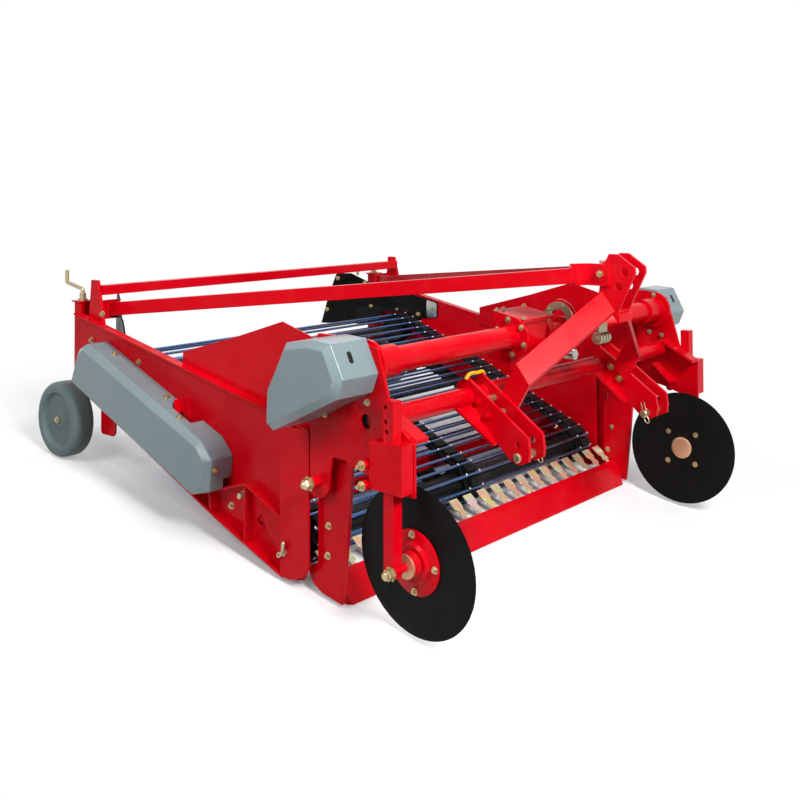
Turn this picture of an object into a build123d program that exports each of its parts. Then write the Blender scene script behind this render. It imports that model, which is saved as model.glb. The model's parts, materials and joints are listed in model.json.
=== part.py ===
"""Mounted potato digger: a rod web behind a share, between two side frames.

Every piece is drawn in the machine's own level frame, in millimetres: X across
the machine (left is +X), Y towards the back, Z up, zero at the middle of the
share's cutting edge.  The machine parks on that edge and its two rear wheels,
so the finished pieces are laid back together until both touch the floor.
"""
from build123d import *
from math import asin, atan2, cos, degrees, hypot, pi, radians, sin
import os

# ---------------------------------------------------------------- driving sizes
FIT = 0.3                 # gap between pieces that seat on each other
RUN = 0.05                # radial play of a turning bearing
SLIDE = 0.5               # play of a sliding tube on each side

SHARE_IN = 836            # inner face of the share plates, half the digging width
SHARE_T = 12              # share plate thickness
WALL_T = 6                # side wall sheet
OUTER_IN = 872            # inner face of the outer front plates
OUTER_T = 10              # outer front plate thickness
JOIN_Y = 104              # where front plates meet the side walls
SHELF_Z = 438             # underside of the step between share plate and outer plate
SHELF_T = 10
PIVOT_Y, PIVOT_Z, PIVOT_R = 73, 364, 17
LOBE_R = 50               # rounded ear of an outer plate round the share pivot
PIVOT_OUT = 34            # how far the pivot stands out of the outer plate

WALL_REAR = 1388          # back end of the side walls
LIP_FRONT = 505           # height of a wall's top edge at JOIN_Y
LIP_SLOPE = 0.193
LIP_T = 6
STRIP_Y0, STRIP_Y1 = JOIN_Y + 6, 235             # upright strip at a wall's front

DRIVE_Y, DRIVE_Z, DRIVE_R = -114, 723, 38        # tube that holds the drive shafts
HITCH_Y, HITCH_Z, HITCH_R = -150, 572, 31        # tube that carries the hitch

MAST_HALF = 29            # inner faces of the two mast plates, from the middle
MAST_T = 12
TOP_PIN_R = 12.8
BRACE_BOLT_Y, BRACE_BOLT_Z, BRACE_BOLT_R = -398, 943, 10
CLEVIS_IN = 361           # inner face of a clevis's inner plate
CLEVIS_GAP = 67
CLEVIS_T = 12
LOW_PIN_Y, LOW_PIN_Z, LOW_PIN_R = -341, 416, 14.4

WEB_GAP = 34              # end of a web rod to a share plate
WEB_HALF = SHARE_IN - WEB_GAP
ROD_R = 5.5
ROD_SIDES = 8             # a web rod's flats, so that the many rods stay light
ROD_PITCH = 45
BELT_T = 10
BELT_W = 62

POST = 44                 # wheel post, square
POST_WALL = 4.5
POST_X = 828              # middle of a post
POST_Z0, POST_Z1 = 500, 790
CAP_T = 6

WHEEL_R = 140
WHEEL_W = 84
WHEEL_Z = 357
WHEEL_AXLE_R = 12
WHEEL_GAP = 6             # post to wheel

DISC_R, DISC_T = 215, 5
DISC_X, DISC_Y, DISC_Z = 821, -254, 190
DISC_TOE, DISC_LEAN = 2.5, 3.6                   # degrees
SHANK = 36                # coulter shank, square
SHANK_Y = -240
DISC_AXLE_R = 12

BAR_Y, BAR_Z, BAR_S = 1277, 843, 36              # rear cross bar, square

PLATE_OUT = SHARE_IN + SHARE_T
WALL_OUT = PLATE_OUT + WALL_T
OUTER_OUT = OUTER_IN + OUTER_T
WHEEL_Y = WALL_REAR + POST / 2
WHEEL_X = POST_X + POST / 2 + WHEEL_GAP          # inner face of a wheel
PARK = degrees(atan2(WHEEL_Z, WHEEL_Y) - asin(WHEEL_R / hypot(WHEEL_Y, WHEEL_Z)))

parts = {}


# ---------------------------------------------------------------- ways of making
def plate(points, x0, x1):
    """Sheet parallel to the machine's side: an outline in (Y, Z) from X = x0 to x1."""
    face = Plane.YZ.offset(x0) * make_face(Polyline(*points, close=True))
    return extrude(face, amount=x1 - x0)


def rod(y, z, radius, x0, x1):
    """Round bar along X."""
    return extrude(Plane.YZ.offset(x0) * Pos(y, z) * Circle(radius), amount=x1 - x0)


def flat_rod(y, z, radius, sides, x0, x1):
    """Bar along X with flats, `radius` out to its corners."""
    return extrude(Plane.YZ.offset(x0) * Pos(y, z) * RegularPolygon(radius, sides), amount=x1 - x0)


def front_rod(x, z, radius, y0, y1):
    """Round bar along Y."""
    return extrude(Plane.XZ.offset(-y1) * Pos(x, z) * Circle(radius), amount=y1 - y0)


def block(x0, x1, y0, y1, z0, z1):
    """Box between two corners."""
    return Pos((x0 + x1) / 2, (y0 + y1) / 2, (z0 + z1) / 2) * Box(x1 - x0, y1 - y0, z1 - z0)


def both(name, left):
    """Keep a left-hand piece and its mirror image."""
    parts[name + "_left"] = left
    parts[name + "_right"] = mirror(left, about=Plane.YZ)


def lip_z(y):
    """Height of a side wall's top edge."""
    return LIP_FRONT + (y - JOIN_Y) * LIP_SLOPE


# ---------------------------------------------------------------- side frames
share_plate = plate([(2, 24), (-18, 200), (-26, 300), (-38, SHELF_Z), (JOIN_Y, SHELF_Z),
                     (JOIN_Y, 110), (142, 92), (140, 66), (118, 42), (88, 26), (12, 12), (6, 10)],
                    SHARE_IN, PLATE_OUT)
share_plate += rod(PIVOT_Y, PIVOT_Z, PIVOT_R, PLATE_OUT, OUTER_OUT + PIVOT_OUT)
both("share_plate", share_plate)

WALL_FOOT = [(235, 50), (534, 155), (1160, 405)]
wall = plate([(160, 46), (190, 38)] + WALL_FOOT + [(WALL_REAR, 470), (WALL_REAR, lip_z(WALL_REAR)),
             (JOIN_Y, lip_z(JOIN_Y)), (JOIN_Y, SHELF_Z), (148, SHELF_Z), (148, 62)], PLATE_OUT, WALL_OUT)
wall += plate([(STRIP_Y0, lip_z(STRIP_Y0)), (WALL_REAR, lip_z(WALL_REAR)),
               (WALL_REAR, lip_z(WALL_REAR) - LIP_T), (STRIP_Y0, lip_z(STRIP_Y0) - LIP_T)],
              WALL_OUT, OUTER_OUT)
STRIP_FOOT = [(STRIP_Y0, 102), (122, 78), (150, 60), (190, 48), WALL_FOOT[0]]
wall += plate([(STRIP_Y0, lip_z(STRIP_Y0) - 1), (STRIP_Y1, lip_z(STRIP_Y0) - 1)] + STRIP_FOOT[::-1],
              OUTER_OUT - 8, OUTER_OUT)
wall += plate([(STRIP_Y1 - 8, lip_z(STRIP_Y0) - 1), (STRIP_Y1, lip_z(STRIP_Y0) - 1), WALL_FOOT[0],
               (STRIP_Y1 - 8, 46)], WALL_OUT, OUTER_OUT)
FOOT_W = 30               # width of the flange along a wall's foot
FOOT_TOP = [(y, z + 8) for y, z in reversed(WALL_FOOT)]
wall += plate(WALL_FOOT + FOOT_TOP, WALL_OUT, WALL_OUT + FOOT_W)
RIB_LINE = [(579, 243), (396, 299), (235, 230)]  # stiffener from the foot up and down to the strip
RIB_T = 6
wall += plate([(572, 184), RIB_LINE[0], RIB_LINE[1], RIB_LINE[2], (235, 222), (396, 291), (566, 239),
               (560, 180)], WALL_OUT, WALL_OUT + FOOT_W)
wall += plate([(400, 120), (400 - RIB_T, 118), (392, 296), (398, 296)], WALL_OUT, WALL_OUT + FOOT_W)
wall += plate([(1142, 420), (1150, 330), (1162, 318), (1234, 318), (1242, 330), (1242, 430)],
              PLATE_OUT, WALL_OUT)
both("side_wall", wall)
CROSS_Y, CROSS_Z, CROSS_S = 370, 200, 46         # frame tube between the web's two runs, square
parts["cross_tube"] = block(-PLATE_OUT + FIT, PLATE_OUT - FIT, CROSS_Y - CROSS_S / 2, CROSS_Y + CROSS_S / 2,
                            CROSS_Z - CROSS_S / 2, CROSS_Z + CROSS_S / 2)

lobe_side = [(min(PIVOT_Y + LOBE_R * cos(a), JOIN_Y), PIVOT_Z + LOBE_R * sin(a))
             for a in (pi * k / 12 for k in range(-4, -12, -1))]
NOSE_Y = -300             # front end of an outer plate, where the coulter's sleeve is held
outer = plate([(NOSE_Y, 385), (NOSE_Y, 530), (-222, 585), (-195, 680), (-165, 775), (-80, 797),
               (70, 797), (JOIN_Y, 750), (JOIN_Y, PIVOT_Z - 36)] + lobe_side
              + [(PIVOT_Y - LOBE_R, 392), (14, 436), (2, 446), (-40, 446), (-62, 430), (-150, 415),
                 (-250, 385)], OUTER_IN, OUTER_OUT)
outer -= rod(-121, 566, 14, OUTER_IN - 1, OUTER_OUT + 1)
outer -= rod(PIVOT_Y, PIVOT_Z, PIVOT_R + FIT, OUTER_IN - 1, OUTER_OUT + 1)
outer += block(SHARE_IN, OUTER_IN, -38, JOIN_Y, SHELF_Z + FIT, SHELF_Z + SHELF_T)
outer += plate([(-38, SHELF_Z + SHELF_T), (-42, 467), (-35, 622), (-15, 695), (JOIN_Y, 660),
                (JOIN_Y, SHELF_Z + SHELF_T)], SHARE_IN, PLATE_OUT)
outer += block(PLATE_OUT, OUTER_IN, JOIN_Y - 8, JOIN_Y, SHELF_Z + SHELF_T, 660)
GUSSET_IN = 52            # width of the gussets behind the nose, inwards from the outer plate
outer += plate([(-165, 610), (NOSE_Y, 540), (NOSE_Y, 528), (-165, 598)], OUTER_IN - GUSSET_IN, OUTER_IN)
outer += plate([(-129, 512), (-205, 446), (-205, 436), (-129, 502)], OUTER_IN - GUSSET_IN, OUTER_IN)
outer -= rod(HITCH_Y, HITCH_Z, HITCH_R + FIT, OUTER_IN - GUSSET_IN - 1, OUTER_IN)
both("outer_plate", outer)

GUARD_T = 4
guard = plate([(JOIN_Y + FIT, lip_z(JOIN_Y) - 40), (JOIN_Y + FIT, 770), (262, 812), (480, 745), (760, 668),
               (760, lip_z(760) - 40)], PLATE_OUT - GUARD_T, PLATE_OUT)
both("guard", guard)

# ---------------------------------------------------------------- share and fingers
SHARE_BACK = [(64, 85), (72, 75)]                # rear face of the share, top and bottom
parts["share"] = plate([(0, 0), (2, 7), (44, 72)] + SHARE_BACK + [(55, 62), (18, 4), (14, 0)],
                       -SHARE_IN, SHARE_IN)
CORNER = 33               # clipped front corners of the share
for side in (1, -1):
    corner = Polyline((side * (SHARE_IN - CORNER), -1), (side * (SHARE_IN + 1), CORNER + 1),
                      (side * (SHARE_IN + 1), -1), close=True)
    parts["share"] -= extrude(Plane.XY.offset(-1) * make_face(corner), amount=80)

FINGER_PITCH = 81
FINGER_COUNT = 21
FINGER_T = 4
FINGER_LIFT = 4           # underside of the fingers over the share's rear lower edge
back_fall = Vector(0, SHARE_BACK[1][0] - SHARE_BACK[0][0], SHARE_BACK[1][1] - SHARE_BACK[0][1])
finger_up = back_fall.normalized() * -1          # square to the fingers, off the share's rear face
finger_way = finger_up.cross(Vector(1, 0, 0))
FINGER_HALVES = [(8, 0), (8, 14), (19, 14), (19, 24), (12, 34), (23, 50), (23, 84)]   # (half width, height)
finger_outline = FINGER_HALVES + [(-half, height) for half, height in reversed(FINGER_HALVES)]
finger_seat = Vector(0, *SHARE_BACK[1]) + finger_up * FINGER_LIFT + finger_way * FIT
finger_plane = Plane(origin=finger_seat, x_dir=(1, 0, 0), z_dir=finger_up)
finger = extrude(finger_plane * make_face(Polyline(*finger_outline, close=True)), amount=FINGER_T)
parts["fingers"] = Compound([Pos((i - (FINGER_COUNT - 1) / 2) * FINGER_PITCH, 0, 0) * finger
                             for i in range(FINGER_COUNT)])

# ---------------------------------------------------------------- rod web
ROLLERS = [(225, 145, 54), (700, 370, 40), (1185, 540, 54)]   # middle Y, middle Z, radius
BELT_PLACES = [-WEB_HALF + 40, 0, WEB_HALF - 40]


def loop_wire(grow):
    """Closed path round the three rollers, `grow` off their surfaces, in (Y, Z)."""
    rings = [(y, z, r + grow) for y, z, r in ROLLERS]
    runs = []
    for (ya, za, ra), (yb, zb, rb) in zip(rings, rings[1:] + rings[:1]):
        lift = atan2(zb - za, yb - ya) + pi / 2 + asin((rb - ra) / hypot(yb - ya, zb - za))
        runs.append((lift, (ya + ra * cos(lift), za + ra * sin(lift)),
                     (yb + rb * cos(lift), zb + rb * sin(lift))))
    edges = []
    for i, (lift, start, end) in enumerate(runs):
        y, z, r = rings[(i + 1) % len(rings)]
        lift_on, start_on, _ = runs[(i + 1) % len(runs)]
        while lift_on > lift:
            lift_on -= 2 * pi
        half_way = (lift + lift_on) / 2
        edges.append(Line(start, end))
        edges.append(ThreePointArc(end, (y + r * cos(half_way), z + r * sin(half_way)), start_on))
    return Wire(edges)


belt_section = make_face(loop_wire(FIT + BELT_T)) - make_face(loop_wire(FIT))
parts["web_belts"] = Compound([extrude(Plane.YZ.offset(x - BELT_W / 2) * belt_section, amount=BELT_W)
                               for x in BELT_PLACES])

rod_path = loop_wire(2 * FIT + BELT_T + ROD_R)
rod_count = round(rod_path.length / ROD_PITCH)
rod_spots = [rod_path.position_at(i / rod_count) for i in range(rod_count)]
parts["web_rods"] = Compound([flat_rod(spot.X, spot.Y, ROD_R, ROD_SIDES, -WEB_HALF, WEB_HALF)
                              for spot in rod_spots])

ROLLER_CORE_R = 17
ROLLER_PAST = 8           # how far a roller's drum stands out past its belt
FRONT_TUBE_R = 36         # the front roller is a tube between its drums
for name, (y, z, r) in zip(("front_roller", "middle_roller", "web_shaft"), ROLLERS):
    roller = flat_rod(y, z, ROLLER_CORE_R, 6, -PLATE_OUT, PLATE_OUT)
    if name == "front_roller":
        roller += rod(y, z, FRONT_TUBE_R, BELT_PLACES[0], BELT_PLACES[2])
    for x in BELT_PLACES:
        roller += rod(y, z, r, x - BELT_W / 2 - ROLLER_PAST, x + BELT_W / 2 + ROLLER_PAST)
    parts[name] = roller

# ---------------------------------------------------------------- drive line
GEAR_LEFT, GEAR_RIGHT = 30, -150                 # ends of the gearbox's body
LEFT_TUBE_END = 140                              # the left tube starts clear of the gearbox
TUBE_FLANGE_R, TUBE_FLANGE_T = 70, 12
HOUSING_R, HOUSING_IN = 48, 760                  # chain-end bearing housing on a tube
RING_Z, RING_BORE_R = 755, 33                    # open bearing ring on the left tube's end
DRIVE_SHAFT_R = 20
SHAFT_ROOM = 4                                   # ring to the shaft that passes it
for name, gear_end, side in (("drive_tube_left", LEFT_TUBE_END, 1), ("drive_tube_right", GEAR_RIGHT, -1)):
    plate_end = side * OUTER_IN
    flange_end = gear_end + side * TUBE_FLANGE_T
    tube = rod(DRIVE_Y, DRIVE_Z, DRIVE_R, *sorted((flange_end, plate_end)))
    tube += rod(DRIVE_Y, DRIVE_Z, HOUSING_R, *sorted((side * HOUSING_IN, plate_end)))
    tube += rod(DRIVE_Y, DRIVE_Z, 72, *sorted((plate_end, plate_end - side * TUBE_FLANGE_T)))
    if side == 1:
        ring = rod(DRIVE_Y, RING_Z, TUBE_FLANGE_R, gear_end, flange_end)
        ring -= rod(DRIVE_Y, RING_Z, RING_BORE_R, gear_end - 1, flange_end + 1)
        ring -= rod(DRIVE_Y, DRIVE_Z, DRIVE_SHAFT_R + SHAFT_ROOM, gear_end - 1, flange_end + 1)
        tube += ring
    else:
        tube += rod(DRIVE_Y, DRIVE_Z, TUBE_FLANGE_R, *sorted((gear_end, flange_end)))
    parts[name] = tube

PTO_X, PTO_Z, PTO_R = -60, 672, 17.4
PTO_BEARING_R = 22
PTO_NOSE, PTO_SEAT = -228, -135                  # front and back of the drive shaft's bearing seat
PTO_END = PTO_NOSE - 78
GEAR_TILT = 10            # degrees the gearbox leans down at its front
GEAR_FRONT, GEAR_REAR = -30, 86                  # its faces, from the drive shafts' axis
GEAR_FOOT, GEAR_TOP = -98, 55
COVER_EDGE, COVER_T = 8, 12                      # how far its cover stands out, and how thick it is
gear = block(GEAR_RIGHT, GEAR_LEFT, GEAR_FRONT, GEAR_REAR, GEAR_FOOT, GEAR_TOP)
gear = chamfer(gear.edges().filter_by(Axis.Z).sort_by(Axis.Y)[:2], 22)
gear += block(GEAR_RIGHT, GEAR_LEFT + COVER_EDGE, GEAR_FRONT - COVER_EDGE, GEAR_REAR + COVER_EDGE,
              GEAR_TOP, GEAR_TOP + COVER_T)
gear = Pos(0, DRIVE_Y, DRIVE_Z) * Rot(X=GEAR_TILT) * gear
gear += front_rod(PTO_X, PTO_Z, 42, PTO_NOSE, DRIVE_Y)
gear += rod(DRIVE_Y, DRIVE_Z, 34, GEAR_LEFT, GEAR_LEFT + 40)
gear += rod(DRIVE_Y, DRIVE_Z, DRIVE_SHAFT_R, GEAR_LEFT, LEFT_TUBE_END + TUBE_FLANGE_T - FIT)
gear -= front_rod(PTO_X, PTO_Z, PTO_BEARING_R + RUN, PTO_NOSE - 1, PTO_SEAT)
parts["gearbox"] = gear
parts["pto_shaft"] = (front_rod(PTO_X, PTO_Z, PTO_BEARING_R, PTO_NOSE - 2, PTO_SEAT - 2)
                      + front_rod(PTO_X, PTO_Z, PTO_R, PTO_END, PTO_NOSE - 2))

# ---------------------------------------------------------------- hitch
parts["hitch_beam"] = rod(HITCH_Y, HITCH_Z, HITCH_R, -OUTER_IN, OUTER_IN)

CLEVIS_TOP = [(-149, 636), (-377, 480)]          # upper edge of a clevis plate
clevis_outline = CLEVIS_TOP + [(-383, 440), (-380, 409), (-350, 395), (-318, 402), (-200, 505),
                               (-140, 528), (-108, 560), (-112, 610)]
outer_clevis = CLEVIS_IN + CLEVIS_T + CLEVIS_GAP
clevis = plate(clevis_outline, CLEVIS_IN, CLEVIS_IN + CLEVIS_T)
clevis += plate(clevis_outline, outer_clevis, outer_clevis + CLEVIS_T)
clevis -= rod(HITCH_Y, HITCH_Z, HITCH_R + FIT, CLEVIS_IN - 1, outer_clevis + CLEVIS_T + 1)
clevis -= rod(LOW_PIN_Y, 455, 10, CLEVIS_IN - 1, outer_clevis + CLEVIS_T + 1)
clevis -= rod(LOW_PIN_Y, LOW_PIN_Z, LOW_PIN_R, CLEVIS_IN - 1, outer_clevis + CLEVIS_T + 1)
RIB_OUT, RIB_END, RIB_LONG = 88, 14, 150         # gussets beside a clevis: width at each end, length
gusset_way = Vector(0, -0.644, -0.765)           # down a gusset, from the front of the hitch tube
gusset_off = Vector(1, 0, 0).cross(gusset_way)
for gusset_x, side in ((outer_clevis + CLEVIS_T, 1), (CLEVIS_IN, -1)):
    gusset_plane = Plane(origin=(gusset_x, HITCH_Y - 19, HITCH_Z - 11), x_dir=(1, 0, 0), z_dir=gusset_off)
    gusset = make_face(Polyline((0, 0), (0, RIB_LONG), (side * RIB_END, RIB_LONG), (side * RIB_OUT, 0),
                                close=True))
    clevis += extrude(gusset_plane * gusset, amount=8)
clevis -= rod(HITCH_Y, HITCH_Z, HITCH_R + FIT, CLEVIS_IN - 2 * RIB_OUT, outer_clevis + 2 * RIB_OUT)
both("clevis", clevis)

STRUT_W, STRUT_T = 78, 14
KNEE_Y, KNEE_Z = -274, 678                       # rear end of a strut's bend line
STRUT_DOWN = 118          # strut below its bend
STRUT_RISE = 240          # strut above its bend, along its slope
strut_up = Vector(0, -0.5, 0.866)                # up a strut, seen from the side
strut_wide = Vector(0, -0.621, -0.784)           # along its bend line, which isn't square to it
strut_side = CLEVIS_IN - FIT
strut_in = MAST_HALF + MAST_T + FIT
along = (strut_side - strut_in, STRUT_RISE)
reach = hypot(*along)
drop = STRUT_T * reach / along[0]
knee_in = STRUT_T * (reach - along[1]) / along[0]
strut_outline = [(strut_side, -STRUT_DOWN), (strut_side, 0), (strut_in, STRUT_RISE),
                 (strut_in, STRUT_RISE - drop), (strut_side - STRUT_T, -knee_in),
                 (strut_side - STRUT_T, -STRUT_DOWN)]
strut_plane = Plane(origin=(0, KNEE_Y, KNEE_Z), x_dir=(1, 0, 0), z_dir=Vector(1, 0, 0).cross(strut_up))
both("strut", extrude(strut_plane * make_face(Polyline(*strut_outline, close=True)), amount=STRUT_W,
                      dir=strut_wide))

MAST_FOOT = 814           # underside of the mast, on its shelf between the struts
mast_outline = [(-376, 842), (-385, 897), (-404, 978), (-420, 1008), (-452, 1008), (-512, 968),
                (-514, 948), (-448, MAST_FOOT), (-396, MAST_FOOT)]
mast = plate(mast_outline, MAST_HALF, MAST_HALF + MAST_T)
mast += plate(mast_outline, -MAST_HALF - MAST_T, -MAST_HALF)
TOP_PINS = [(-478, 950), (-456, 903)]
for y, z in TOP_PINS:
    mast -= rod(y, z, TOP_PIN_R, -100, 100)
mast += plate([(-376, 842), (-386, 850), (-404, 826), (-452, 826), (-448, MAST_FOOT), (-396, MAST_FOOT)],
              -MAST_HALF, MAST_HALF)
SHELF_T, SHELF_HALF = 26, 200                    # shelf under the mast, from strut to strut
shelf = block(-SHELF_HALF, SHELF_HALF, -458, -380, MAST_FOOT - SHELF_T, MAST_FOOT)
strut_room = [(strut_in - FIT, 2 * STRUT_RISE), (strut_in - FIT, STRUT_RISE - drop),
              (strut_side - STRUT_T - FIT, -knee_in), (strut_side + SHELF_HALF, -knee_in),
              (strut_side + SHELF_HALF, 2 * STRUT_RISE)]
room = extrude(strut_plane * make_face(Polyline(*strut_room, close=True)), amount=3 * STRUT_W,
               dir=strut_wide, both=True)
shelf -= room
shelf -= mirror(room, about=Plane.YZ)
mast += shelf
parts["mast"] = mast

# ---------------------------------------------------------------- rear frame and braces
upright = plate([(1225, 660), (1345, 660), (1322, 880), (1280, 880)], SHARE_IN, PLATE_OUT)
BRACE_END_Y = 1310
upright += block(730, SHARE_IN, BRACE_END_Y, BRACE_END_Y + 8, 728, 800)
both("upright", upright)
parts["rear_bar"] = block(-SHARE_IN, SHARE_IN, BAR_Y - BAR_S / 2, BAR_Y + BAR_S / 2,
                          BAR_Z - BAR_S / 2, BAR_Z + BAR_S / 2)

BRACE_H, BRACE_W = 50, 30
brace_front = Vector(96, -330, BRACE_BOLT_Z - 6)
brace_rear = Vector(760, BRACE_END_Y, 764)
brace_way = (brace_rear - brace_front).normalized()
brace_plane = Plane(origin=brace_front, x_dir=brace_way.cross(Vector(0, 0, 1)), z_dir=brace_way)
brace = extrude(brace_plane * Rectangle(BRACE_W, BRACE_H), amount=(brace_rear - brace_front).length + 60)
brace -= block(0, 1000, BRACE_END_Y, BRACE_END_Y + 200, 600, 1000)
BRACE_EYE = 36            # half the height of a brace's flat end, round its bolt
brace += extrude(Plane.XY.offset(BRACE_BOLT_Z - 4 - BRACE_EYE) * make_face(Polyline(
    (strut_in, -428), (strut_in + 10, -428), (strut_in + 10, -350), (112, -322), (96, -306),
    (strut_in, -350), close=True)), amount=2 * BRACE_EYE)
both("brace", brace)

# ---------------------------------------------------------------- deflector boards
BOARD_T = 6
BOARD_LEAN = 30           # degrees between a board and the side wall
board_wall = Vector(PLATE_OUT - FIT - BOARD_T, 1102, 0)
board_way = Vector(-sin(radians(BOARD_LEAN)), cos(radians(BOARD_LEAN)), 0)
BOARD_CLEAR = 636         # lower edge over the web
board_outline = [(4, 583), (0, 688), (130, 727), (200, 729), (357, 803), (431, 802), (470, 700),
                 (509, 556), (330, 556), (250, BOARD_CLEAR), (60, BOARD_CLEAR), (52, 583)]
board_plane = Plane(origin=board_wall, x_dir=board_way, z_dir=board_way.cross(Vector(0, 0, 1)))
board = extrude(board_plane * make_face(Polyline(*board_outline, close=True)), amount=BOARD_T)
BOARD_FLANGE = [(1010, 600), (1010, 672), (1108, 690), (1108, 590)]   # bolted to the side wall
board += plate(BOARD_FLANGE, PLATE_OUT - FIT - BOARD_T, PLATE_OUT - FIT)
both("deflector", board)

# ---------------------------------------------------------------- chain covers
COVER_CHAMFER = 20
front_cover_outline = [(52, 788), (-48, 806), (-124, 801), (-172, 708), (-149, 652), (104, 532),
                       (134, 545), (129, 650)]
COVER_OUT = 1045
cover = plate(front_cover_outline, OUTER_OUT, COVER_OUT)
cover = chamfer(cover.faces().sort_by(Axis.X)[-1].edges(), COVER_CHAMFER)
both("front_cover", cover)

side_cover_outline = [(1200, 662), (1245, 640), (1295, 520), (1270, 500), (590, 238), (500, 262),
                      (487, 365), (540, 418)]
NOTCH_Y0, NOTCH_Y1, NOTCH_X = 640, 760, 905      # where the wall's bracket needs room
cover = plate(side_cover_outline, WALL_OUT, 960)
cover -= plate([WALL_FOOT[0], WALL_FOOT[1], WALL_FOOT[2], (1160, 414), (534, 164), (262, 65)],
               WALL_OUT - 1, WALL_OUT + 31)
cover = chamfer(cover.faces().sort_by(Axis.X)[-1].edges(), COVER_CHAMFER)
cover -= block(WALL_OUT - 1, NOTCH_X, NOTCH_Y0, NOTCH_Y1, 430, 560)
cover -= plate([(480, 150), (600, 150), (600, 262), (480, 300)], WALL_OUT - 1, WALL_OUT + FOOT_W + 1)
parts["side_cover_right"] = mirror(cover, about=Plane.YZ)

# ---------------------------------------------------------------- wheels and their legs
post = block(POST_X - POST / 2, POST_X + POST / 2, WALL_REAR, WALL_REAR + POST, POST_Z0, POST_Z1)
post_in = POST - 2 * POST_WALL
post -= block(POST_X - post_in / 2, POST_X + post_in / 2, WHEEL_Y - post_in / 2, WHEEL_Y + post_in / 2,
              POST_Z0 - 1, POST_Z1)
post += block(POST_X - 30, POST_X + 30, WHEEL_Y - 30, WHEEL_Y + 30, POST_Z1, POST_Z1 + CAP_T)
both("post", post)

crank = Pos(POST_X, WHEEL_Y, POST_Z1 + CAP_T) * extrude(RegularPolygon(11, 6), amount=30)
crank_path = FilletPolyline((POST_X, WHEEL_Y, POST_Z1 + CAP_T + 25), (POST_X, WHEEL_Y, 838),
                            (POST_X, WHEEL_Y + 112, 858), (POST_X, WHEEL_Y + 112, 905), radius=14)
crank += sweep(Plane(origin=crank_path @ 0, z_dir=crank_path % 0) * RegularPolygon(6, 8), path=crank_path)
both("crank", crank)

leg_s = post_in - 2 * SLIDE
leg = block(POST_X - leg_s / 2, POST_X + leg_s / 2, WHEEL_Y - leg_s / 2, WHEEL_Y + leg_s / 2,
            WHEEL_Z - 22, 720)
wheel_out = WHEEL_X + WHEEL_W
leg += rod(WHEEL_Y, WHEEL_Z, WHEEL_AXLE_R, POST_X, wheel_out + 4)
leg += rod(WHEEL_Y, WHEEL_Z, 20, wheel_out + FIT, wheel_out + 6)
both("wheel_leg", leg)

half_w = WHEEL_W / 2
wheel_section = [(half_w, WHEEL_AXLE_R + RUN), (half_w, 30), (half_w - 12, 34), (half_w - 12, 96),
                 (half_w - 2, 104), (half_w - 2, WHEEL_R - 14), (half_w - 12, WHEEL_R)]
wheel_section += [(-x, r) for x, r in reversed(wheel_section)]
wheel = revolve(make_face(Polyline(*wheel_section, close=True)), Axis.X)
both("wheel", Pos(WHEEL_X + half_w, WHEEL_Y, WHEEL_Z) * wheel)

# ---------------------------------------------------------------- coulters
disc_place = Pos(DISC_X, DISC_Y, DISC_Z) * Rot(Z=DISC_TOE) * Rot(Y=DISC_LEAN)
HUB_X1 = 44               # outer end of the hub, from the disc's middle
HUB_FLANGE_R = 92
disc_section = [(-DISC_T / 2 - 14, 0), (-DISC_T / 2 - 14, 34), (-DISC_T / 2, 34), (-DISC_T / 2, DISC_R - 16),
                (0, DISC_R), (DISC_T / 2, DISC_R - 16), (DISC_T / 2, HUB_FLANGE_R),
                (DISC_T / 2 + 8, HUB_FLANGE_R), (DISC_T / 2 + 8, 40), (HUB_X1, 28),
                (HUB_X1, DISC_AXLE_R + RUN), (-10, DISC_AXLE_R + RUN), (-10, 0)]
both("disc", disc_place * revolve(make_face(Polyline(*disc_section, close=True)), Axis.X))

shank_in = OUTER_OUT + 2
shank = block(shank_in, shank_in + SHANK, SHANK_Y - SHANK / 2, SHANK_Y + SHANK / 2, 168, 645)
shank += disc_place * extrude(Plane.YZ.offset(-9) * Circle(DISC_AXLE_R), amount=120)
both("coulter_shank", shank)

SLEEVE_T = 10
sleeve_in = SHANK / 2 + FIT
sleeve = block(OUTER_OUT, shank_in + SHANK + FIT + SLEEVE_T, SHANK_Y - sleeve_in - SLEEVE_T,
               SHANK_Y + sleeve_in + SLEEVE_T + 34, 400, 530)
sleeve -= block(shank_in - FIT, shank_in + SHANK + FIT, SHANK_Y - sleeve_in, SHANK_Y + sleeve_in, 390, 540)
both("coulter_sleeve", sleeve)

# ---------------------------------------------------------------- lay back and save
placed = {name: Rot(X=-PARK) * shape for name, shape in parts.items()}
box = Compound(list(placed.values())).bounding_box()
STAND = Pos(-box.center().X, -box.center().Y, -box.min.Z)
os.makedirs("parts", exist_ok=True)
for name, shape in placed.items():
    export_step(STAND * shape, f"parts/{name}.step")
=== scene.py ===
"""Mounted potato digger: painted steel side frames round a rod web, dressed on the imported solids."""
import json
import math
import bmesh
import bpy
from mathutils import Matrix, Vector

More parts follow.
